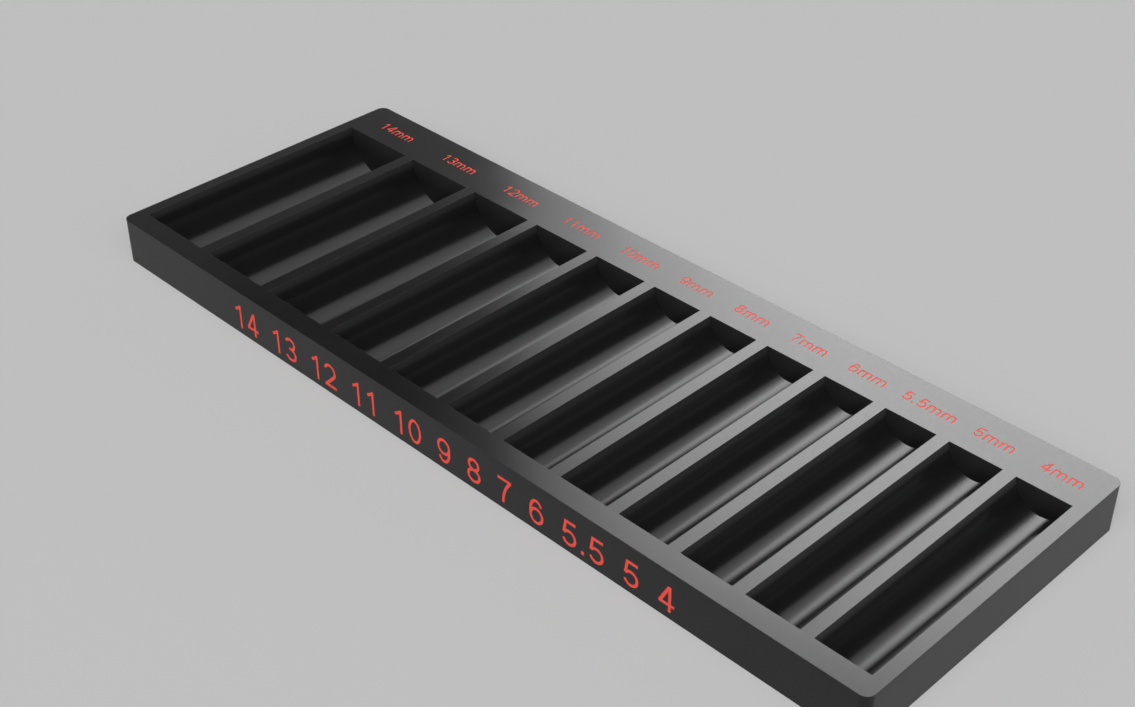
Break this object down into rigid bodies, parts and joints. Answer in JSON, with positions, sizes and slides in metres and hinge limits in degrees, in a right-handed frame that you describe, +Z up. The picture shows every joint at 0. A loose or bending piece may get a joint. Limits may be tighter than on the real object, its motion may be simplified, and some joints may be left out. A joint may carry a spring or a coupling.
{
  "type": "socket tray",
  "caption": "Flat open drawer tray with a row of half-round troughs for deep sockets, a strip of inlaid size marks behind them and inlaid numbers on the front face.",
  "frame": {"origin": "middle of the flat underside", "axes": "+X along the row from the widest trough to the narrowest, +Y from the front face to the strip of size marks, +Z up out of the troughs"},
  "size_m": [0.2126, 0.078, 0.011],
  "materials": {
    "tray_plastic": "dark grey, satin to semi-gloss, fine moulded texture",
    "inlay_plastic": "red, satin"
  },
  "bodies": {
    "root": {"tray_body": "tray_plastic", "size_mark_14": "inlay_plastic", "size_mark_13": "inlay_plastic", "size_mark_12": "inlay_plastic", "size_mark_11": "inlay_plastic", "size_mark_10": "inlay_plastic", "size_mark_9": "inlay_plastic", "size_mark_8": "inlay_plastic", "size_mark_7": "inlay_plastic", "size_mark_6": "inlay_plastic", "size_mark_5_5": "inlay_plastic", "size_mark_5": "inlay_plastic", "size_mark_4": "inlay_plastic", "front_number_14": "inlay_plastic", "front_number_13": "inlay_plastic", "front_number_12": "inlay_plastic", "front_number_11": "inlay_plastic", "front_number_10": "inlay_plastic", "front_number_9": "inlay_plastic", "front_number_8": "inlay_plastic", "front_number_7": "inlay_plastic", "front_number_6": "inlay_plastic", "front_number_5_5": "inlay_plastic", "front_number_5": "inlay_plastic", "front_number_4": "inlay_plastic"}
  },
  "joints": []
}
